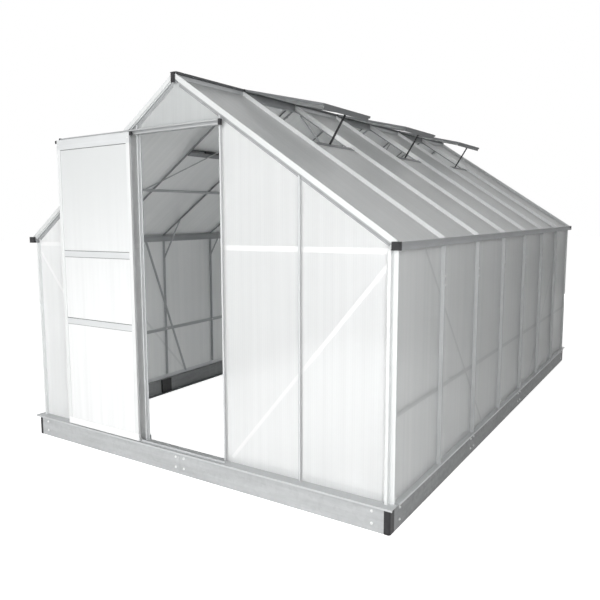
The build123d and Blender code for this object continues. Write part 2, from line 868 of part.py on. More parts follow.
# Sliding door, standing open to the left of the doorway
door_low = door_foot + door_foot_rail
door_high = door_head - door_top_rail
with BuildPart() as stiles:
    for low in (door_left, door_right - door_stile):
        with BuildSketch(Plane.XY.offset(door_low)):
            slab(low, low + door_stile, -door_front, -door_back)
        extrude(amount=door_high - door_low)
keep(stiles, "door_stiles")

rail_left = door_left + door_stile
rail_right = door_right - door_stile
mid_rails = []
for share in door_rail_shares:
    rail_low = door_foot + share * (door_head - door_foot)
    mid_rails.append((rail_low, rail_low + door_mid_rail))
with BuildPart() as rails:
    for low, high in mid_rails:
        with BuildSketch(Plane.XY.offset(low)):
            slab(rail_left, rail_right, -door_front, -door_back)
        extrude(amount=high - low)
    for low, high in [(door_foot, door_low), (door_high, door_head)]:
        with BuildSketch(Plane.XY.offset(low)):
            slab(door_left, door_right, -door_front, -door_back)
        extrude(amount=high - low)
keep(rails, "door_rails")

with BuildPart() as door_panels:
    lows = [door_low] + [high for low, high in mid_rails]
    highs = [low for low, high in mid_rails] + [door_high]
    for low, high in zip(lows, highs):
        with BuildSketch(Plane.XY.offset(low)):
            slab(rail_left, rail_right, -door_mid - door_panel_thick / 2, -door_mid + door_panel_thick / 2)
        extrude(amount=high - low)
keep(door_panels, "door_panels")

# Rollers inside the track, on axles that reach out through its slot to the door's top rail
roller_places = [door_left + roller_inset, door_right - roller_inset]
roller_radius = track_height / 2 - track_wall - roller_gap
roller_back = (track_back + track_lip - roller_width) / 2
with BuildPart() as axles:
    for x in roller_places:
        with BuildSketch(Plane(origin=(x, -door_back, lintel_mid), z_dir=(0, 1, 0))):
            Circle(axle_radius)
        extrude(amount=door_back - roller_back)
keep(axles, "door_axles")

with BuildPart() as rollers:
    for x in roller_places:
        with BuildSketch(Plane(origin=(x, -roller_back, lintel_mid), z_dir=(0, -1, 0))):
            Circle(roller_radius)
            Circle(axle_radius + axle_gap, mode=Mode.SUBTRACT)
        extrude(amount=roller_width)
keep(rollers, "door_rollers")
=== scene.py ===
# %% [markdown]
# # A walk-in greenhouse in Blender
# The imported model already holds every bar, sheet and sill in its right place, in metres.
# This lesson gives it its looks: a camera, soft studio light, finishes for plastic, aluminium
# and galvanised steel, and the small fittings that a solid model leaves out.

# %% Load the frame and keep its box
import math

import bmesh
import bpy
from mathutils import Matrix, Vector


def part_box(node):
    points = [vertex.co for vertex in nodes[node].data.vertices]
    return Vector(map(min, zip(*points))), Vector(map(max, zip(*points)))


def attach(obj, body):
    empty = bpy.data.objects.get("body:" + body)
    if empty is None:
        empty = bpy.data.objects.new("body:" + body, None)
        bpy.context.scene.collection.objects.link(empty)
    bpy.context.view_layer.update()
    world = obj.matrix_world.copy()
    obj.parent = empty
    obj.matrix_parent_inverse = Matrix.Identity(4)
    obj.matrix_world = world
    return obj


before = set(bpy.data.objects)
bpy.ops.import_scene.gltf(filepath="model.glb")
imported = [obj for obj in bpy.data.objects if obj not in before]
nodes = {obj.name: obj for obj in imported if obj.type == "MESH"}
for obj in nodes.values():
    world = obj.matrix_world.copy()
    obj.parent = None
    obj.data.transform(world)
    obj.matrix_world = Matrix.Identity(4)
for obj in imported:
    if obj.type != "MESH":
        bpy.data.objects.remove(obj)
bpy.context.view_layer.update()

# %% [markdown]
# ## The camera
# The building is seen from its front right corner, a little above the door's middle.
# The lens and the place come from lining up known corners of the model with the picture, and a
# small shift stands for the way the picture was cropped. A camera looks along its own -Z, so its
# matrix is made from three columns: right, up and backwards.

# %% Camera
camera_place = Vector((2.3568, -4.748, 1.4462))
turn, dip, roll = (math.radians(v) for v in (-35.4298, 7.002, -0.6284))
look = Vector((math.sin(turn) * math.cos(dip), math.cos(turn) * math.cos(dip), -math.sin(dip)))
level_right = Vector((math.cos(turn), -math.sin(turn), 0))
level_up = level_right.cross(look)
right = level_right * math.cos(roll) + level_up * math.sin(roll)
up = level_up * math.cos(roll) - level_right * math.sin(roll)

lens = bpy.data.cameras.new("camera")
lens.sensor_width, lens.lens = 36.0, 38.12
lens.shift_x, lens.shift_y = 0.08125, -0.0061
camera = bpy.data.objects.new("camera", lens)
bpy.context.scene.collection.objects.link(camera)
camera.matrix_world = Matrix((right, up, -look)).transposed().to_4x4()
camera.location = camera_place
bpy.context.scene.camera = camera
print("camera at", [round(v, 2) for v in camera_place], "looking", [round(v, 3) for v in look])

# %% [markdown]
# ## Two small helpers for finishes
# Colours are written as the hex values that a paint chart or a picture program shows. Shaders
# want linear light, so one function converts them. A second function adds a node to a tree,
# sets its values and links it, so that a finish reads as a short list.


# %% Helpers
def linear(code):
    """A six-digit sRGB hex colour as linear RGBA."""
    parts = [int(code[i:i + 2], 16) / 255 for i in (0, 2, 4)]
    return [c / 12.92 if c <= 0.04045 else ((c + 0.055) / 1.055) ** 2.4 for c in parts] + [1.0]


def add_node(tree, kind, values=None, links=None, **settings):
    """Adds a node: settings are its own options, values its sockets' constants, links its inputs."""
    made = tree.nodes.new(kind)
    for key, value in settings.items():
        setattr(made, key, value)
    for key, value in (values or {}).items():
        made.inputs[key].default_value = value
    for key, source in (links or {}).items():
        tree.links.new(source, made.inputs[key])
    return made


def new_finish(name):
    """An empty material with its tree and the object's own coordinates, in metres."""
    finish = bpy.data.materials.new(name)
    finish.use_nodes = True
    finish.node_tree.nodes.clear()
    place = add_node(finish.node_tree, "ShaderNodeTexCoord").outputs["Object"]
    return finish, finish.node_tree, place


def close_finish(tree, values, links):
    """Ends a finish in one Principled shader and the output."""
    shader = add_node(tree, "ShaderNodeBsdfPrincipled", values, links)
    add_node(tree, "ShaderNodeOutputMaterial", links={"Surface": shader.outputs["BSDF"]})


print("white as linear light:", linear("ffffff"))

# %% [markdown]
# ## Bars that show through the sheets
# The sheets are translucent, so a bar that touches the back of one shows through it: as a pale band on
# the lit gables, and as a faint dark one on the shaded walls. Light that scatters inside a sheet is
# costly to trace, so the band is painted into the sheet's colour: painted light on the gables and painted
# shade on the walls, with a mask that is 1 along the bar. The bar's line comes from the CAD node behind
# the sheet. The two gables and the two walls mirror each other, so the mask works on the folded (absolute)
# coordinates and is right on all of them.


# %% Lines of the bars behind the sheets
def bar_line(start, end, width):
    """A bar's middle, its way, the way across it, half its length and half its width."""
    start, end = Vector(start), Vector(end)
    way = (end - start).normalized()
    thin_axis = min(range(3), key=lambda axis: abs(way[axis]))
    face = Vector([1.0 if axis == thin_axis else 0.0 for axis in range(3)])
    return (start + end) / 2, way, way.cross(face), (end - start).length / 2, width / 2


def show_through(tree, place, bars):
    """The mask of the bars behind a sheet: 1 over a bar and 0 beside it, with soft edges."""
    folded = add_node(tree, "ShaderNodeVectorMath", links={0: place}, operation="ABSOLUTE").outputs["Vector"]
    soft = 0.003
    mask = None
    for middle, way, across, half_length, half_width in bars:
        shares = []
        for axis, half in ((way, half_length), (across, half_width)):
            along = add_node(tree, "ShaderNodeVectorMath", {1: axis}, {0: folded}, operation="DOT_PRODUCT")
            offset = add_node(tree, "ShaderNodeMath", {1: middle.dot(axis)}, {0: along.outputs["Value"]},
                              operation="SUBTRACT")
            distance = add_node(tree, "ShaderNodeMath", links={0: offset.outputs["Value"]},
                                operation="ABSOLUTE")
            share = add_node(tree, "ShaderNodeMapRange",
                             {"From Min": half - soft, "From Max": half + soft, "To Min": 1.0, "To Max": 0.0},
                             {"Value": distance.outputs["Value"]})
            shares.append(share.outputs["Result"])
        bar = add_node(tree, "ShaderNodeMath", links={0: shares[0], 1: shares[1]}, operation="MULTIPLY")
        if mask is None:
            mask = bar.outputs["Value"]
        else:
            mask = add_node(tree, "ShaderNodeMath", links={0: mask, 1: bar.outputs["Value"]},
                            operation="MAXIMUM").outputs["Value"]
    return mask


rail_low, rail_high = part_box("gable_rails")
brace_points = [vertex.co for vertex in nodes["gable_braces"].data.vertices]
brace_foot = min(brace_points, key=lambda p: (round(p.z, 4), abs(p.x)))
brace_head = max(brace_points, key=lambda p: (round(p.z, 4), -abs(p.x)))
# The braces' end points are corners that lie brace_half beside the bar's middle line.
brace_width, brace_half = 0.018, 0.011
rail_mid = (rail_low.z + rail_high.z) / 2
jamb_side = min(abs(v.co.x) for v in nodes["front_posts"].data.vertices)
gable_bars = [
    bar_line((jamb_side, 0, rail_mid), (rail_high.x, 0, rail_mid), rail_high.z - rail_low.z),
    bar_line((abs(brace_foot.x) + brace_half, 0, brace_foot.z),
             (abs(brace_head.x) + brace_half, 0, brace_head.z), brace_width),
]
girt_low, girt_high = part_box("side_girts")
girt_height = (girt_low.z + girt_high.z) / 2
lean_points = [vertex.co for vertex in nodes["wall_braces"].data.vertices]
lean_foot = min(lean_points, key=lambda p: (round(p.z, 4), abs(p.y)))
lean_head = max(lean_points, key=lambda p: (round(p.z, 4), abs(p.y)))
wall_bars = [
    bar_line((0, 0, girt_height), (0, girt_high.y, girt_height), girt_high.z - girt_low.z),
    bar_line((0, abs(lean_foot.y), lean_foot.z), (0, abs(lean_head.y), lean_head.z), brace_width),
]
print("bars behind a wall:", [[round(v, 3) for v in bar[0]] for bar in wall_bars])
print("bars behind a gable:", [[round(v, 3) for v in bar[0]] for bar in gable_bars])

# %% [markdown]
# ## Twin-wall sheet
# The sheets are polycarbonate, extruded as two thin skins with ribs between them. The ribs stand
# about 6 mm apart and run from sill to eave, or down the roof. To the eye that is a milky sheet
# with fine lines and long soft streaks along them. A solid plate with some rough see-through gives
# that at far less cost than thousands of real ribs. In the picture the door's sheets grow greyer
# towards the top, so a finish may fade to a grey between two heights.


# %% Twin-wall polycarbonate
def twin_wall(name, across, clear, pale, dim, bars=(), painted_bar_tone="ffffff", fade=None):
    """Extruded twin-wall polycarbonate: across is the axis that its ribs are counted along."""
    finish, tree, place = new_finish(name)
    # Real ribs are 6 mm apart; they are drawn 12 mm apart, or the picture would lose them.
    # At scale 1 a wave texture repeats every tau / 20 metres.
    rib_gap, wave_length = 0.012, math.tau / 20
    ribs = add_node(tree, "ShaderNodeTexWave", {"Scale": wave_length / rib_gap}, {"Vector": place},
                    wave_type="BANDS", bands_direction=across, wave_profile="SIN")
    # Streaks from the extruder's die: 30 mm wide and metres long.
    fine, long = 34.0, 0.6
    stretch = [fine if axis == across else long for axis in "XYZ"]
    drawn = add_node(tree, "ShaderNodeMapping", {"Scale": stretch}, {"Vector": place})
    streaks = add_node(tree, "ShaderNodeTexNoise", {"Scale": 1.0, "Detail": 3.0, "Roughness": 0.55},
                       {"Vector": drawn.outputs["Vector"]})
    both = add_node(tree, "ShaderNodeMix", {"Factor": 0.15},
                    {"A": streaks.outputs["Fac"], "B": ribs.outputs["Fac"]}, data_type="FLOAT")
    tint = add_node(tree, "ShaderNodeValToRGB", links={"Fac": both.outputs["Result"]})
    tint.color_ramp.elements[0].position, tint.color_ramp.elements[0].color = 0.3, linear(dim)
    tint.color_ramp.elements[1].position, tint.color_ramp.elements[1].color = 0.7, linear(pale)
    colour = tint.outputs["Color"]
    # The fade is painted shade: the colour turns to a darker grey towards the top, where less light reaches.
    if fade:
        low, high, grey = fade
        height = add_node(tree, "ShaderNodeSeparateXYZ", links={"Vector": place}).outputs["Z"]
        share = add_node(tree, "ShaderNodeMapRange", {"From Min": low, "From Max": high}, {"Value": height},
                         interpolation_type="SMOOTHSTEP")
        faded = add_node(tree, "ShaderNodeMix", {"B": linear(grey)},
                         {"Factor": share.outputs["Result"], "A": colour}, data_type="RGBA")
        colour = faded.outputs["Result"]
    # Over the bars behind the sheet: painted light on the gables, painted shade on the walls.
    if bars:
        backed = add_node(tree, "ShaderNodeMix", {"B": linear(painted_bar_tone)},
                          {"Factor": show_through(tree, place, bars), "A": colour}, data_type="RGBA")
        colour = backed.outputs["Result"]
    bump = add_node(tree, "ShaderNodeBump", {"Strength": 0.05, "Distance": 0.001},
                    {"Height": ribs.outputs["Fac"]})
    close_finish(tree, {"Roughness": 0.3, "IOR": 1.2, "Transmission Weight": clear},
                 {"Base Color": colour, "Normal": bump.outputs["Normal"]})
    return finish


gable_sheet = twin_wall("twin_wall_polycarbonate_gable", "X", 0.55, "f5f6f6", "edeeee", gable_bars)
milky_sheet = twin_wall("twin_wall_polycarbonate_milky", "X", 0.38, "f7f8f8", "eff0f0", gable_bars)
# The top triangle's darker grey is painted shade: it has less light behind it.
shaded_top_sheet = twin_wall("twin_wall_polycarbonate_top_shaded", "X", 0.55, "dfe1e1", "d7d9d9")
# The door's sheets are painted greyer towards the top: painted shade.
door_sheet = twin_wall("twin_wall_polycarbonate_door", "X", 0.12, "f5f6f6", "ebecec",
                       fade=(0.6, 1.95, "d8dada"))
wall_sheet = twin_wall("twin_wall_polycarbonate_wall", "Y", 0.43, "f3f4f4", "e9ebeb", wall_bars, "dfe1e1")
roof_sheet = twin_wall("twin_wall_polycarbonate_roof", "Y", 0.47, "f3f4f4", "e9ebeb")
print("sheet finishes:", [m.name for m in bpy.data.materials if "polycarbonate" in m.name])

# %% [markdown]
# ## Aluminium
# Every bar is an aluminium extrusion. The die leaves fine lines along the bar, so the highlight is
# soft across the bar and streaky along it. The lines are noise that is squeezed across the bar and
# stretched along it. Bars run up, across, along or down the slopes, so the stretched axes are given.
# A glazing bar is one piece, but in the picture its outer rib is brighter than the flange and the stem
# behind the sheets. Each such zone is given as a way out of the building, a distance along it, and the
# grey of what lies farther in. Walls and slopes mirror each other, so a zone works on folded coordinates
# and is right on both sides at once.


# %% Extruded aluminium
# A zone's darker grey inside the sheets is painted shade.
def aluminium(name, long_axes, pale, dim, gloss, metal, zones=()):
    """Mill-finish or satin aluminium extrusion with die lines along its long axes, and inner zones."""
    finish, tree, place = new_finish(name)
    # Die lines are under 1 mm apart; they are drawn 4 mm apart so that a near view shows them.
    line_gap, long = 0.004, 1.5
    scale = [long if axis in long_axes else 1 / line_gap for axis in "XYZ"]
    drawn = add_node(tree, "ShaderNodeMapping", {"Scale": scale}, {"Vector": place})
    lines = add_node(tree, "ShaderNodeTexNoise", {"Scale": 1.0, "Detail": 2.0},
                     {"Vector": drawn.outputs["Vector"]})
    # Soft dull patches about 200 mm across.
    patches = add_node(tree, "ShaderNodeTexNoise", {"Scale": 5.0, "Detail": 4.0}, {"Vector": place})
    both = add_node(tree, "ShaderNodeMix", {"Factor": 0.5},
                    {"A": lines.outputs["Fac"], "B": patches.outputs["Fac"]}, data_type="FLOAT")
    tint = add_node(tree, "ShaderNodeValToRGB", links={"Fac": both.outputs["Result"]})
    tint.color_ramp.elements[0].position, tint.color_ramp.elements[0].color = 0.3, linear(dim)
    tint.color_ramp.elements[1].position, tint.color_ramp.elements[1].color = 0.7, linear(pale)
    colour = tint.outputs["Color"]
    soft = 0.0002
    for outward, edge, grey in zones:
        folded = add_node(tree, "ShaderNodeVectorMath", links={0: place}, operation="ABSOLUTE")
        depth = add_node(tree, "ShaderNodeVectorMath", {1: outward}, {0: folded.outputs["Vector"]},
                         operation="DOT_PRODUCT")
        inner = add_node(tree, "ShaderNodeMapRange",
                         {"From Min": edge - soft, "From Max": edge + soft, "To Min": 1.0, "To Max": 0.0},
                         {"Value": depth.outputs["Value"]})
        zone = add_node(tree, "ShaderNodeMix", {"B": linear(grey)},
                        {"Factor": inner.outputs["Result"], "A": colour}, data_type="RGBA")
        colour = zone.outputs["Result"]
    spread = 0.08
    rough = add_node(tree, "ShaderNodeMapRange", {"To Min": gloss - spread, "To Max": gloss + spread},
                     {"Value": both.outputs["Result"]})
    bump = add_node(tree, "ShaderNodeBump", {"Strength": 0.1, "Distance": 0.0005},
                    {"Height": lines.outputs["Fac"]})
    close_finish(tree, {"Metallic": metal},
                 {"Base Color": colour, "Roughness": rough.outputs["Result"],
                  "Normal": bump.outputs["Normal"]})
    return finish


# The sheets' inner faces, and the way out of the right slope: they part the lit outer parts from the painted
# shade farther in.
wall_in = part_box("right_panels")[0].x
gable_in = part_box("back_panels")[0].y
roof_points = [vertex.co for vertex in nodes["roof_panels"].data.vertices]
eave_low = min((p for p in roof_points if p.x > 0), key=lambda p: p.z)
near_ridge = 0.1
ridge_low = min((p for p in roof_points if 0 < p.x < near_ridge), key=lambda p: p.z)
slope_way = (eave_low - ridge_low) * Vector((1, 0, 1))
slope_out = Vector((-slope_way.z, 0, slope_way.x)).normalized()
roof_in = slope_out.dot(eave_low)
print("sheets' inner faces:", round(wall_in, 4), round(gable_in, 4), "roof", [round(v, 4) for v in slope_out])

out_x, out_y, rise = Vector((1, 0, 0)), Vector((0, 1, 0)), Vector((0, 0, 1))
# A zone ends a hair inside a sheet's inner face. A roof bar's flange is a second, deeper edge, the ridge
# has one just under its beads, and the door one just over its foot rail.
hair, flange = 0.0005, 0.0023
bead_low, foot_high = 2.2115, 0.19
corner_bar = aluminium("satin_aluminium_corner", "Z", "eceeee", "dee0e0", 0.42, 0.3)
# The greys of the zones inside the sheets, on uprights, gable posts, roof bars and verges, are painted shade.
upright_bar = aluminium("satin_aluminium_upright", "Z", "dcdedf", "cdcfd0", 0.42, 0.3,
                        [(out_x, wall_in - hair, "c6c8ca")])
gable_bar = aluminium("satin_aluminium_gable", "Z", "dcdedf", "d0d2d3", 0.45, 0.3,
                      [(out_y, gable_in - hair, "a0a2a4")])
slope_bar = aluminium("satin_aluminium_slope", "XZ", "fafbfb", "eeefef", 0.42, 0.3,
                      [(slope_out, roof_in - hair, "f0f1f2"), (slope_out, roof_in - flange, "a4a6a8")])
verge_bar = aluminium("satin_aluminium_verge", "XZ", "e4e6e6", "d6d8d8", 0.42, 0.3,
                      [(slope_out, roof_in - hair, "b4b6b7")])
# The vents' dark grey is painted shade: their seen side faces away from the light.
shaded_vent_bar = aluminium("satin_aluminium_vent_shaded", "XZ", "8f9193", "7b7d7f", 0.45, 0.4)
cross_bar = aluminium("satin_aluminium_across", "X", "e6e8e9", "dcdedf", 0.45, 0.3)
front_sill = aluminium("mill_aluminium_sill", "X", "cfd1d2", "c2c4c5", 0.5, 0.3)
# In the picture the door's foot rail is paler than the rails above it.
rail_bar = aluminium("satin_aluminium_rail", "X", "dfe1e2", "d5d7d8", 0.45, 0.3,
                     [(rise, foot_high, "f4f5f5")])
stile_bar = aluminium("satin_aluminium_stile", "Z", "e8e9e9", "e0e2e2", 0.45, 0.2)
# The track's darker grey is painted shade: it lies in shade under the lintel.
shaded_track_bar = aluminium("mill_aluminium_track_shaded", "X", "c6c8c9", "b4b6b7", 0.5, 0.4)
along_bar = aluminium("satin_aluminium_along", "Y", "e6e7e8", "d2d4d5", 0.42, 0.3)
eaves_bar = aluminium("grey_aluminium_along", "Y", "bcbec0", "a6a8aa", 0.5, 0.4)
# The ridge's dark grey above its beads is painted shade of the hinge groove; below the beads it is a paler
# grey.
ridge_bar = aluminium("aluminium_ridge_shaded_top", "Y", "8a8c8e", "717375", 0.5, 0.4, [(rise, bead_low, "c4c6c8")])
inner_along = aluminium("mill_aluminium_along", "Y", "c2c4c6", "a8aaac", 0.5, 0.6)
inner_leaning = aluminium("mill_aluminium_leaning", "XZ", "c2c4c6", "a8aaac", 0.5, 0.6)
# The gable's inner rails and braces are paler than the other inner bars: painted light, as they stand behind
# the lit gables.
lit_inner_gable = aluminium("mill_aluminium_gable_lit", "X", "eeeff0", "dcdedf", 0.45, 0.6)
print("aluminium finishes:", len([m for m in bpy.data.materials if "aluminium" in m.name]))

# %% [markdown]
# ## Galvanised steel
# The base is sheet steel dipped in molten zinc, which freezes into a patchwork of crystals, the
# spangle. Each crystal is 10 to 40 mm across and has its own grey. A Voronoi texture makes exactly
# that kind of patchwork. Here the crystals are small and close in tone, and long faint streaks along
# the channel show more. In the picture the long sides are a darker grey than the ends, so they get a
# finish of their own.

# %% Hot-dip galvanised steel
spangle_size = 0.018


def zinc_coat(name, dim, pale):
    """Hot-dip galvanised sheet steel: small crystals of zinc and long faint streaks."""
    finish, tree, place = new_finish(name)
    long_streaks = (2.5, 2.5, 40.0)
    spangle = add_node(tree, "ShaderNodeTexVoronoi", {"Scale": 1 / spangle_size, "Randomness": 1.0},
                       {"Vector": place}, feature="F1")
    crystal = add_node(tree, "ShaderNodeSeparateColor", links={"Color": spangle.outputs["Color"]})
    drawn = add_node(tree, "ShaderNodeMapping", {"Scale": long_streaks}, {"Vector": place})
    cloud = add_node(tree, "ShaderNodeTexNoise", {"Scale": 1.0, "Detail": 5.0, "Roughness": 0.6},
                     {"Vector": drawn.outputs["Vector"]})
    both = add_node(tree, "ShaderNodeMix", {"Factor": 0.85},
                    {"A": crystal.outputs["Red"], "B": cloud.outputs["Fac"]}, data_type="FLOAT")
    tint = add_node(tree, "ShaderNodeValToRGB", links={"Fac": both.outputs["Result"]})
    tint.color_ramp.elements[0].position, tint.color_ramp.elements[0].color = 0.25, linear(dim)
    tint.color_ramp.elements[1].position, tint.color_ramp.elements[1].color = 0.75, linear(pale)
    rough = add_node(tree, "ShaderNodeMapRange", {"To Min": 0.38, "To Max": 0.6},
                     {"Value": crystal.outputs["Green"]})
    close_finish(tree, {"Metallic": 0.25},
                 {"Base Color": tint.outputs["Color"], "Roughness": rough.outputs["Result"]})
    return finish


end_zinc = zinc_coat("hot_dip_galvanised_steel", "adafb0", "c4c6c7")
# The long sides' darker grey is painted shade: they face away from the light.
shaded_side_zinc = zinc_coat("galvanised_steel_shaded_sides", "8b8d8e", "a2a4a5")
print("galvanised steel with crystals of", spangle_size * 1000, "mm")

# %% [markdown]
# ## Black plastic
# Caps, connectors, stays and rollers are moulded from black nylon. The mould is finely sparked, so
# the surface has a grain of about half a millimetre and a dull, even sheen.

# %% Moulded black nylon
black_nylon, tree, place = new_finish("moulded_black_nylon")
# Half-millimetre grain would vanish in the picture, so it is drawn at 3 mm.
grain_size = 0.003
grain = add_node(tree, "ShaderNodeTexNoise", {"Scale": 1 / grain_size, "Detail": 2.0}, {"Vector": place})
wear = add_node(tree, "ShaderNodeTexNoise", {"Scale": 30.0, "Detail": 3.0}, {"Vector": place})
tint = add_node(tree, "ShaderNodeValToRGB", links={"Fac": wear.outputs["Fac"]})
tint.color_ramp.elements[0].position, tint.color_ramp.elements[0].color = 0.3, linear("1d1d1f")
tint.color_ramp.elements[1].position, tint.color_ramp.elements[1].color = 0.75, linear("313133")
bump = add_node(tree, "ShaderNodeBump", {"Strength": 0.2, "Distance": 0.0006},
                {"Height": grain.outputs["Fac"]})
close_finish(tree, {"Roughness": 0.48, "IOR": 1.53},
             {"Base Color": tint.outputs["Color"], "Normal": bump.outputs["Normal"]})
print("plastic with a grain of", grain_size * 1000, "mm")

# %% [markdown]
# ## Which finish goes where
# A CAD node keeps its mesh and only gets a better finish. The list is by name, so a node that is
# forgotten shows up in the printed count.

# %% Dress the CAD nodes
finishes = {
    gable_sheet: ["front_right_panels"],
    milky_sheet: ["front_left_panels", "back_panels"],
    shaded_top_sheet: ["front_top_panel"],
    door_sheet: ["door_panels"],
    wall_sheet: ["left_panels", "right_panels"],
    roof_sheet: ["roof_panels", "vent_panels"],
    corner_bar: ["corner_posts"],
    upright_bar: ["side_posts"],
    gable_bar: ["front_posts", "back_posts"],
    slope_bar: ["roof_bars"],
    verge_bar: ["gable_rafters"],
    shaded_vent_bar: ["vent_frames", "vent_sills"],
    cross_bar: ["sill_back", "door_axles"],
    front_sill: ["sill_front"],
    rail_bar: ["door_rails"],
    stile_bar: ["door_stiles"],
    shaded_track_bar: ["door_lintel", "door_track"],
    along_bar: ["sill_left", "sill_right"],
    eaves_bar: ["left_gutter", "right_gutter"],
    ridge_bar: ["ridge"],
    inner_along: ["side_girts", "purlins"],
    inner_leaning: ["wall_braces", "knee_braces", "roof_braces"],
    lit_inner_gable: ["gable_rails", "gable_braces"],
    end_zinc: ["base_ends"],
    shaded_side_zinc: ["base_sides"],
    black_nylon: ["base_corner_caps", "base_connectors", "gutter_end_caps", "ridge_end_caps",
                  "track_end_caps", "vent_stays", "door_rollers"],
}
dressed = set()
for finish, names in finishes.items():
    for name in names:
        nodes[name].data.materials.clear()
        nodes[name].data.materials.append(finish)
        dressed.add(name)
print("dressed:", len(dressed), "still bare:", sorted(set(nodes) - dressed))

# %% [markdown]
# ## One tree for everything that repeats
# Bolts, clips and screws are the same small fitting at many places. Geometry Nodes is made for
# that: the tree takes the places as points, each with the way it faces and the way its long side
# lies, puts the fitting on each, and ends in one real mesh with its finish. The modifier is then
# turned into a plain mesh, because an exported model can't carry it.

# %% Geometry Nodes tree for fittings
fit_tree = bpy.data.node_groups.new("set_fittings", "GeometryNodeTree")
fit_sockets = {}
for name, kind in [("Places", "NodeSocketGeometry"), ("Fitting", "NodeSocketObject"),
                   ("Size", "NodeSocketFloat"), ("Finish", "NodeSocketMaterial")]:
    fit_sockets[name] = fit_tree.interface.new_socket(name, in_out="INPUT", socket_type=kind).identifier
fit_tree.interface.new_socket("Fittings", in_out="OUTPUT", socket_type="NodeSocketGeometry")
given = add_node(fit_tree, "NodeGroupInput").outputs
shape = add_node(fit_tree, "GeometryNodeObjectInfo", links={"Object": given["Fitting"]})
facing = add_node(fit_tree, "GeometryNodeInputNamedAttribute", {"Name": "facing"}, data_type="FLOAT_VECTOR")
lying = add_node(fit_tree, "GeometryNodeInputNamedAttribute", {"Name": "lying"}, data_type="FLOAT_VECTOR")
upright = add_node(fit_tree, "FunctionNodeAlignRotationToVector",
                   links={"Vector": facing.outputs["Attribute"]}, axis="Z")
turned = add_node(fit_tree, "FunctionNodeAlignRotationToVector",
                  links={"Rotation": upright.outputs["Rotation"], "Vector": lying.outputs["Attribute"]},
                  axis="X", pivot_axis="Z")
placed = add_node(fit_tree, "GeometryNodeInstanceOnPoints",
                  links={"Points": given["Places"], "Instance": shape.outputs["Geometry"],
                         "Rotation": turned.outputs["Rotation"], "Scale": given["Size"]})
real = add_node(fit_tree, "GeometryNodeRealizeInstances", links={"Geometry": placed.outputs["Instances"]})
coated = add_node(fit_tree, "GeometryNodeSetMaterial",
                  links={"Geometry": real.outputs["Geometry"], "Material": given["Finish"]})
add_node(fit_tree, "NodeGroupOutput", links={"Fittings": coated.outputs["Geometry"]})


def repeat(name, fitting, places, finish, body, size=1.0):
    """Sets a fitting at places, each (point, facing, lying), and makes one plain mesh that rides a body."""
    cloud = bpy.data.meshes.new(name + "_places")
    cloud.from_pydata([point for point, _, _ in places], [], [])
    for key, column in (("facing", 1), ("lying", 2)):
        layer = cloud.attributes.new(key, "FLOAT_VECTOR", "POINT")
        for item, place in zip(layer.data, places):
            item.vector = place[column]
    holder = bpy.data.objects.new(name + "_places", cloud)
    bpy.context.scene.collection.objects.link(holder)
    modifier = holder.modifiers.new("fittings", "NODES")
    modifier.node_group = fit_tree
    modifier[fit_sockets["Fitting"]] = fitting
    modifier[fit_sockets["Size"]] = size
    modifier[fit_sockets["Finish"]] = finish
    ready = holder.evaluated_get(bpy.context.evaluated_depsgraph_get())
    mesh = bpy.data.meshes.new_from_object(ready)
    mesh.name = name
    bpy.data.objects.remove(holder)
    piece = bpy.data.objects.new(name, mesh)
    bpy.context.scene.collection.objects.link(piece)
    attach(piece, body)
    print(name, len(places), "places,", len(mesh.polygons), "faces")


def pattern_object(name, build):
    """An object modelled in bmesh. A mould stands at the origin: +Z faces out and +X lies along."""
    shell = bmesh.new()
    build(shell)
    bmesh.ops.remove_doubles(shell, verts=shell.verts, dist=1e-6)
    bmesh.ops.recalc_face_normals(shell, faces=shell.faces)
    mesh = bpy.data.meshes.new(name)
    shell.to_mesh(mesh)
    shell.free()
    made = bpy.data.objects.new(name, mesh)
    bpy.context.scene.collection.objects.link(made)
    return made


print("tree inputs:", list(fit_sockets))

# %% [markdown]
# ## Bolts on the base
# Each seam and corner of the steel base is closed by hexagon bolts on washers. A bolt head is a
# stack of rings: washer, head, and a small chamfer where the head's corners are turned down. All the
# small fittings are made the same way: closed loops of points, joined into a skin that is shut at
# both ends.


# %% Hexagon bolt head
def skin(shell, loops):
    """Joins closed loops of points, one after the other, and shuts both ends."""
    loops = [[shell.verts.new(point) for point in loop] for loop in loops]
    for low, high in zip(loops, loops[1:]):
        count = len(low)
        for step in range(count):
            follow = (step + 1) % count
            shell.faces.new((low[step], low[follow], high[follow], high[step]))
    shell.faces.new(loops[-1])
    shell.faces.new(list(reversed(loops[0])))


def ring_stack(shell, rings):
    """Stacks rings into a skin: each ring is (sides, radius, height)."""
    loops = []
    for sides, radius, height in rings:
        angles = [math.tau * step / sides for step in range(sides)]
        loops.append([(radius * math.cos(a), radius * math.sin(a), height) for a in angles])
    skin(shell, loops)


def hexagon_bolt(shell):
    """An M6 bolt: a washer 14 mm across and a head 10 mm across its flats, chamfered on top."""
    ring_stack(shell, [(12, 0.0072, 0.0), (12, 0.0072, 0.0012), (12, 0.0066, 0.0016)])
    ring_stack(shell, [(6, 0.0058, 0.0016), (6, 0.0058, 0.0048), (6, 0.0048, 0.0056)])


zinc_plate = aluminium("bright_zinc_plated_steel", "Z", "fafafa", "e4e5e5", 0.3, 0.3)
bolt = pattern_object("hexagon_bolt", hexagon_bolt)

base_low, base_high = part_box("base_ends")
side_low, side_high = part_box("base_sides")
post_low, post_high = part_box("side_posts")
post_count, post_width = 6, 0.025
bay = (post_high.y - post_low.y - post_width) / (post_count - 1)
first_post = post_low.y + post_width / 2
post_rows = [first_post + bay * step for step in range(post_count)]
end_seams, side_seams = [0.0], [post_rows[1], post_rows[3]]
bolt_heights = (0.038, 0.098)
corner_gap, seam_gap = 0.06, 0.03


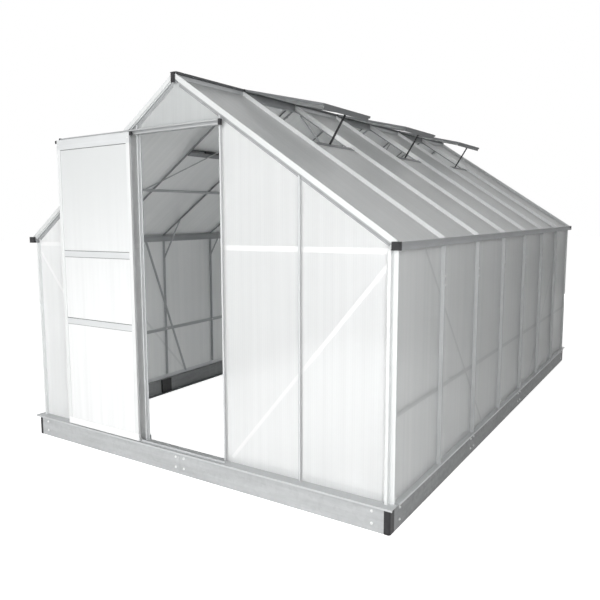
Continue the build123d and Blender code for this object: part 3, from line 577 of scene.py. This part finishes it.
def bolt_marks(low, high, seams):
    """Where the bolts stand along one face: near both of its ends and on both sides of each seam."""
    return [low + corner_gap, high - corner_gap] + [s + gap for s in seams for gap in (-seam_gap, seam_gap)]


base_bolts = []
for height in bolt_heights:
    for y, way in ((base_low.y, -out_y), (base_high.y, out_y)):
        for x in bolt_marks(base_low.x, base_high.x, end_seams):
            base_bolts.append((Vector((x, y, height)), way, rise))
    for x, way in ((side_low.x, -out_x), (side_high.x, out_x)):
        for y in bolt_marks(side_low.y, side_high.y, side_seams):
            base_bolts.append((Vector((x, y, height)), way, rise))
repeat("base_bolts", bolt, base_bolts, zinc_plate, "frame")

# %% [markdown]
# ## Bolts that hold the frame
# Inside, the girts are bolted to every post that they cross. Outside, two bolts through each post's rib
# hold the knee brace behind it. They are the base's bolts in a smaller size, so the same mould and the
# same tree serve again.

# %% Bolts on posts and girts
girt_face = min(abs(vertex.co.x) for vertex in nodes["side_girts"].data.vertices)
knee_lift, pair_gap, small = 0.009, 0.045, 0.75
knee_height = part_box("knee_braces")[0].z + knee_lift
rib_face = post_high.x
frame_bolts = []
for side in (-1, 1):
    for y in post_rows:
        frame_bolts.append((Vector((side * girt_face, y, girt_height)), -side * out_x, rise))
        for height in (knee_height - pair_gap, knee_height):
            frame_bolts.append((Vector((side * rib_face, y, height)), side * out_x, rise))
repeat("frame_bolts", bolt, frame_bolts, zinc_plate, "frame", small)

# %% [markdown]
# ## Clips on the ridge
# Where a roof bar meets the ridge, a black nylon clip is pressed over the ridge's bead and keeps the bar
# from sliding. Its side view is a bent tongue. The tongue is drawn once as an outline and given a width.


# %% Ridge clips
def ridge_clip(shell):
    """A tongue 16 mm wide over a bead 12 mm across: its +Y points down the slope."""
    half_width = 0.008
    outline = [(-0.002, 0.0), (-0.002, 0.0014), (0.007, 0.0018), (0.0125, 0.0006), (0.0142, -0.004),
               (0.0135, -0.0128), (0.0118, -0.0128), (0.0118, 0.0)]
    skin(shell, [[(end, y, z) for y, z in outline] for end in (-half_width, half_width)])


clip = pattern_object("ridge_clip", ridge_clip)
ridge_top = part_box("ridge")[1].z
bead_start = 0.012
ridge_clips = []
for side in (-1, 1):
    for y in post_rows:
        ridge_clips.append((Vector((side * bead_start, y, ridge_top)), rise, -side * out_y))
repeat("ridge_clips", clip, ridge_clips, black_nylon, "frame")

# %% [markdown]
# ## Rubber
# Strips of grey rubber close the slits under the verges, and their grey is painted shade for the rafters'
# shadow there; thin dark ones lie along the door's rails.
# Extruded rubber is dull, with a bloom that pales it in soft patches.


# %% Extruded rubber
def rubber(name, pale, dim):
    """Extruded EPDM rubber: dull and even, with patches of pale bloom about 60 mm across."""
    finish, tree, place = new_finish(name)
    # The grain of the die is finer than a millimetre; it is drawn at 2 mm.
    bloom_size, grain_size = 0.06, 0.002
    bloom = add_node(tree, "ShaderNodeTexNoise", {"Scale": 1 / bloom_size, "Detail": 4.0}, {"Vector": place})
    grain = add_node(tree, "ShaderNodeTexNoise", {"Scale": 1 / grain_size, "Detail": 1.0}, {"Vector": place})
    tint = add_node(tree, "ShaderNodeValToRGB", links={"Fac": bloom.outputs["Fac"]})
    tint.color_ramp.elements[0].position, tint.color_ramp.elements[0].color = 0.3, linear(dim)
    tint.color_ramp.elements[1].position, tint.color_ramp.elements[1].color = 0.7, linear(pale)
    bump = add_node(tree, "ShaderNodeBump", {"Strength": 0.15, "Distance": 0.0004},
                    {"Height": grain.outputs["Fac"]})
    close_finish(tree, {"Roughness": 0.7, "IOR": 1.5},
                 {"Base Color": tint.outputs["Color"], "Normal": bump.outputs["Normal"]})
    return finish


# The first grey rubber is for the verge strips, whose grey is painted shade.
verge_shade_rubber = rubber("grey_rubber_verge_shade", "a4a6a7", "929495")
dark_rubber = rubber("dark_extruded_rubber", "5a5b5d", "48494b")
print("rubber finishes:", verge_shade_rubber.name, dark_rubber.name)

# %% [markdown]
# ## Seals and painted shade under the verges
# The sheets of a gable end in a slope under the rafter. A half-round rubber strip lies in that corner,
# cut where a post's rib stands proud. The strips follow a rule, so they are laid from the roof's slope
# and the posts' places. Only their width, 12 mm, comes from the picture.


# %% Verge seals and their painted shade
def half_round(shell, start, end, across, out, width, thick):
    """A half-round strip from start to end that lies on a face and bulges out of it."""
    outline = [(-0.5, 0.0), (-0.36, 0.7), (0.0, 1.0), (0.36, 0.7), (0.5, 0.0)]
    skin(shell, [[place + across * width * u + out * thick * v for u, v in outline]
                 for place in (start, end)])


def new_piece(name, build, finish, body):
    """A single piece, modelled in bmesh where it stands, that rides a body."""
    piece = pattern_object(name, build)
    piece.data.materials.append(finish)
    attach(piece, body)
    print(name, len(piece.data.polygons), "faces")


sheet_face = -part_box("front_top_panel")[0].y
proud = sheet_face + hair
rafter_lift = min(slope_out.dot(Vector((abs(v.co.x), 0, v.co.z)))
                  for v in nodes["gable_rafters"].data.vertices if abs(v.co.y) > proud) - roof_in
strip_width, strip_thick, strip_play = 0.012, 0.002, 0.001
strip_line = roof_in + rafter_lift - strip_width / 2
post_edges = sorted({round(abs(v.co.x), 4) for v in nodes["front_posts"].data.vertices if -v.co.y > proud})
ridge_half, between_posts = 0.022, 0.5
inner_edges = [x for x in post_edges if x < between_posts]
outer_edges = [x for x in post_edges if x > between_posts]
corner_edge = min(abs(v.co.x) for v in nodes["corner_posts"].data.vertices if -v.co.y > proud)
runs = [(ridge_half, inner_edges[0]), (inner_edges[-1], outer_edges[0]), (outer_edges[-1], corner_edge)]
print("rafter's lower edge at", round(rafter_lift, 4), "runs", [[round(v, 3) for v in run] for run in runs])


# The strips are built as rubber seals, and their grey is painted shade where the rafter's shadow falls on the
# sheets.
def verge_seals(shell):
    """The strips of both slopes on both gables, each a millimetre short of the posts."""
    for side in (-1, 1):
        for end in (-1, 1):
            across = Vector((side * slope_out.x, 0, slope_out.z))
            for near, far in runs:
                ends = []
                for x in (near + strip_play, far - strip_play):
                    z = (strip_line - slope_out.x * x) / slope_out.z
                    ends.append(Vector((side * x, end * sheet_face, z)))
                half_round(shell, *ends, across, end * out_y, strip_width, strip_thick)


new_piece("verge_seals", verge_seals, verge_shade_rubber, "frame")

# %% [markdown]
# ## The door's small parts
# The door's rails are screwed to its stiles, thin rubber lines close its sheets along the rails, and
# black plugs shut the ends of its top rail. All of them ride with the door.


# %% Door screws, gaskets and plugs
def pan_screw(shell):
    """A pan-head screw 8 mm across, with a small recess for the driver."""
    ring_stack(shell, [(12, 0.004, 0.0), (12, 0.004, 0.0008), (12, 0.0034, 0.0018), (12, 0.0018, 0.0024),
                       (12, 0.0014, 0.0014)])


screw = pattern_object("pan_screw", pan_screw)
door_low, door_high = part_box("door_rails")
sheet_low, sheet_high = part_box("door_panels")
rail_heights = sorted({round(v.co.z, 4) for v in nodes["door_rails"].data.vertices})
stile_half = (sheet_low.x - door_low.x) / 2
foot_drop = 0.008
screw_heights = [rail_heights[1] - foot_drop]
screw_heights += [(rail_heights[i] + rail_heights[i + 1]) / 2 for i in (2, 4, 6)]
door_screws = []
for x in (door_low.x + stile_half, door_high.x - stile_half):
    for z in screw_heights:
        door_screws.append((Vector((x, door_low.y, z)), -out_y, rise))
repeat("door_screws", screw, door_screws, zinc_plate, "door")


def door_gaskets(shell):
    """Rubber lines on the sheets, over and under each middle rail and under the top one."""
    half_width, thick = 0.0015, 0.003
    for edge, side in ((2, -1), (3, 1), (4, -1), (5, 1), (6, -1)):
        z = rail_heights[edge] + side * half_width
        start, end = (Vector((x, sheet_low.y, z)) for x in (sheet_low.x, sheet_high.x))
        half_round(shell, start, end, rise, -out_y, 2 * half_width, thick)


new_piece("door_gaskets", door_gaskets, dark_rubber, "door")


def rail_plug(shell):
    """A tapered plug for the end of the top rail: +Z points out of the rail and +X up."""
    collar, nose = (0.0095, 0.0065), (0.0075, 0.005)
    cut = 0.7
    corners = [(-1, -cut), (-cut, -1), (cut, -1), (1, -cut), (1, cut), (cut, 1), (-cut, 1), (-1, cut)]
    skin(shell, [[(u * half[0], v * half[1], level) for u, v in corners]
                 for half, level in ((collar, 0.0), (collar, 0.014), (nose, 0.018))])


plug = pattern_object("rail_plug", rail_plug)
rail_depth = (door_low.y + door_high.y) / 2
plug_drop = 0.0105
plug_height = rail_heights[-1] - plug_drop
rail_plugs = [(Vector((door_low.x, rail_depth, plug_height)), -out_x, rise),
              (Vector((door_high.x, rail_depth, plug_height)), out_x, rise)]
repeat("rail_plugs", plug, rail_plugs, black_nylon, "door")

# %% [markdown]
# ## Studio floor and light
# The picture has a plain white ground and soft even light that falls mostly on the front gable.
# The floor is a large pale sheet. Six soft lamps stand round the building: in front, high in front, low
# at the door, off the right corner, on the left and behind. The sky is white to the eye and pale in
# reflections, but it lights the building little, so the shaded side stays grey.

# %% Floor, sky and lamps
floor_mesh = bpy.data.meshes.new("studio_floor")
reach = 40.0
floor_mesh.from_pydata([(-reach, -reach, 0), (reach, -reach, 0), (reach, reach, 0), (-reach, reach, 0)], [],
                       [(0, 1, 2, 3)])
floor = bpy.data.objects.new("studio_floor", floor_mesh)
bpy.context.scene.collection.objects.link(floor)
floor_finish, tree, place = new_finish("pale_studio_paper")
fibre = add_node(tree, "ShaderNodeTexNoise", {"Scale": 3.0, "Detail": 2.0}, {"Vector": place})
tint = add_node(tree, "ShaderNodeValToRGB", links={"Fac": fibre.outputs["Fac"]})
tint.color_ramp.elements[0].color, tint.color_ramp.elements[1].color = linear("cfcfce"), linear("d6d6d5")
path = add_node(tree, "ShaderNodeLightPath").outputs
# In reflections the floor is pale under the building and darker to the right, as if a dark card lay there.
sideways = add_node(tree, "ShaderNodeSeparateXYZ", links={"Vector": place}).outputs["X"]
pale_until, dark_from, pale_shine, dark_shine, floor_glow = 1.3, 3.2, 0.46, 0.16, 0.9
shine = add_node(tree, "ShaderNodeMapRange",
                 {"From Min": pale_until, "From Max": dark_from, "To Min": pale_shine, "To Max": dark_shine},
                 {"Value": sideways})
mirrored = add_node(tree, "ShaderNodeMath", links={0: path["Is Glossy Ray"], 1: shine.outputs["Result"]},
                    operation="MULTIPLY")
glow = add_node(tree, "ShaderNodeMath", {1: floor_glow},
                {0: path["Is Camera Ray"], 2: mirrored.outputs["Value"]}, operation="MULTIPLY_ADD")
close_finish(tree, {"Roughness": 0.9, "Emission Color": linear("ffffff")},
             {"Base Color": tint.outputs["Color"], "Emission Strength": glow.outputs["Value"]})
floor_mesh.materials.append(floor_finish)

sky = bpy.data.worlds.new("studio_sky")
bpy.context.scene.world = sky
sky.use_nodes = True
sky.node_tree.nodes.clear()
path = add_node(sky.node_tree, "ShaderNodeLightPath").outputs
sky_light, sky_shine = 0.09, 0.84
mirrored = add_node(sky.node_tree, "ShaderNodeMapRange", {"To Min": sky_light, "To Max": sky_shine},
                    {"Value": path["Is Glossy Ray"]})
power = add_node(sky.node_tree, "ShaderNodeMath",
                 links={0: path["Is Camera Ray"], 1: mirrored.outputs["Result"]}, operation="MAXIMUM")
white_sky = add_node(sky.node_tree, "ShaderNodeBackground", {"Color": linear("ffffff")},
                     {"Strength": power.outputs["Value"]})
add_node(sky.node_tree, "ShaderNodeOutputWorld", links={"Surface": white_sky.outputs["Background"]})


def lamp(name, place, target, size, watts):
    """A square soft lamp that points from its place at a target and shows in no view or reflection."""
    light = bpy.data.lights.new(name, "AREA")
    light.size, light.energy = size, watts
    made = bpy.data.objects.new(name, light)
    bpy.context.scene.collection.objects.link(made)
    made.location = place
    made.rotation_euler = (Vector(target) - Vector(place)).to_track_quat("-Z", "Y").to_euler()
    made.visible_camera = False
    made.visible_glossy = False


lamp("front_lamp", (-0.8, -7.2, 1.0), (-0.3, -2.0, 0.4), 2.0, 120)
lamp("high_lamp", (0.0, -7.0, 3.5), (0.0, -2.0, 1.0), 3.0, 126)
lamp("low_lamp", (-0.6, -4.0, 0.12), (-0.5, -2.1, 0.5), 1.5, 5)
lamp("corner_lamp", (3.6, -4.6, 1.9), (1.2, -1.4, 0.9), 1.5, 92)
lamp("left_lamp", (-6.5, -1.2, 1.5), (-1.2, 0.2, 0.9), 3.0, 150)
lamp("back_lamp", (0.6, 8.0, 1.4), (0.0, 2.1, 1.0), 3.0, 150)
bpy.context.scene.view_settings.view_transform = "Standard"

# %% [markdown]
# ## Tidy and finish
# The pattern pieces were only moulds, so they go.

# %% Remove the moulds
for mould in (bolt, clip, screw, plug):
    bpy.data.objects.remove(mould)
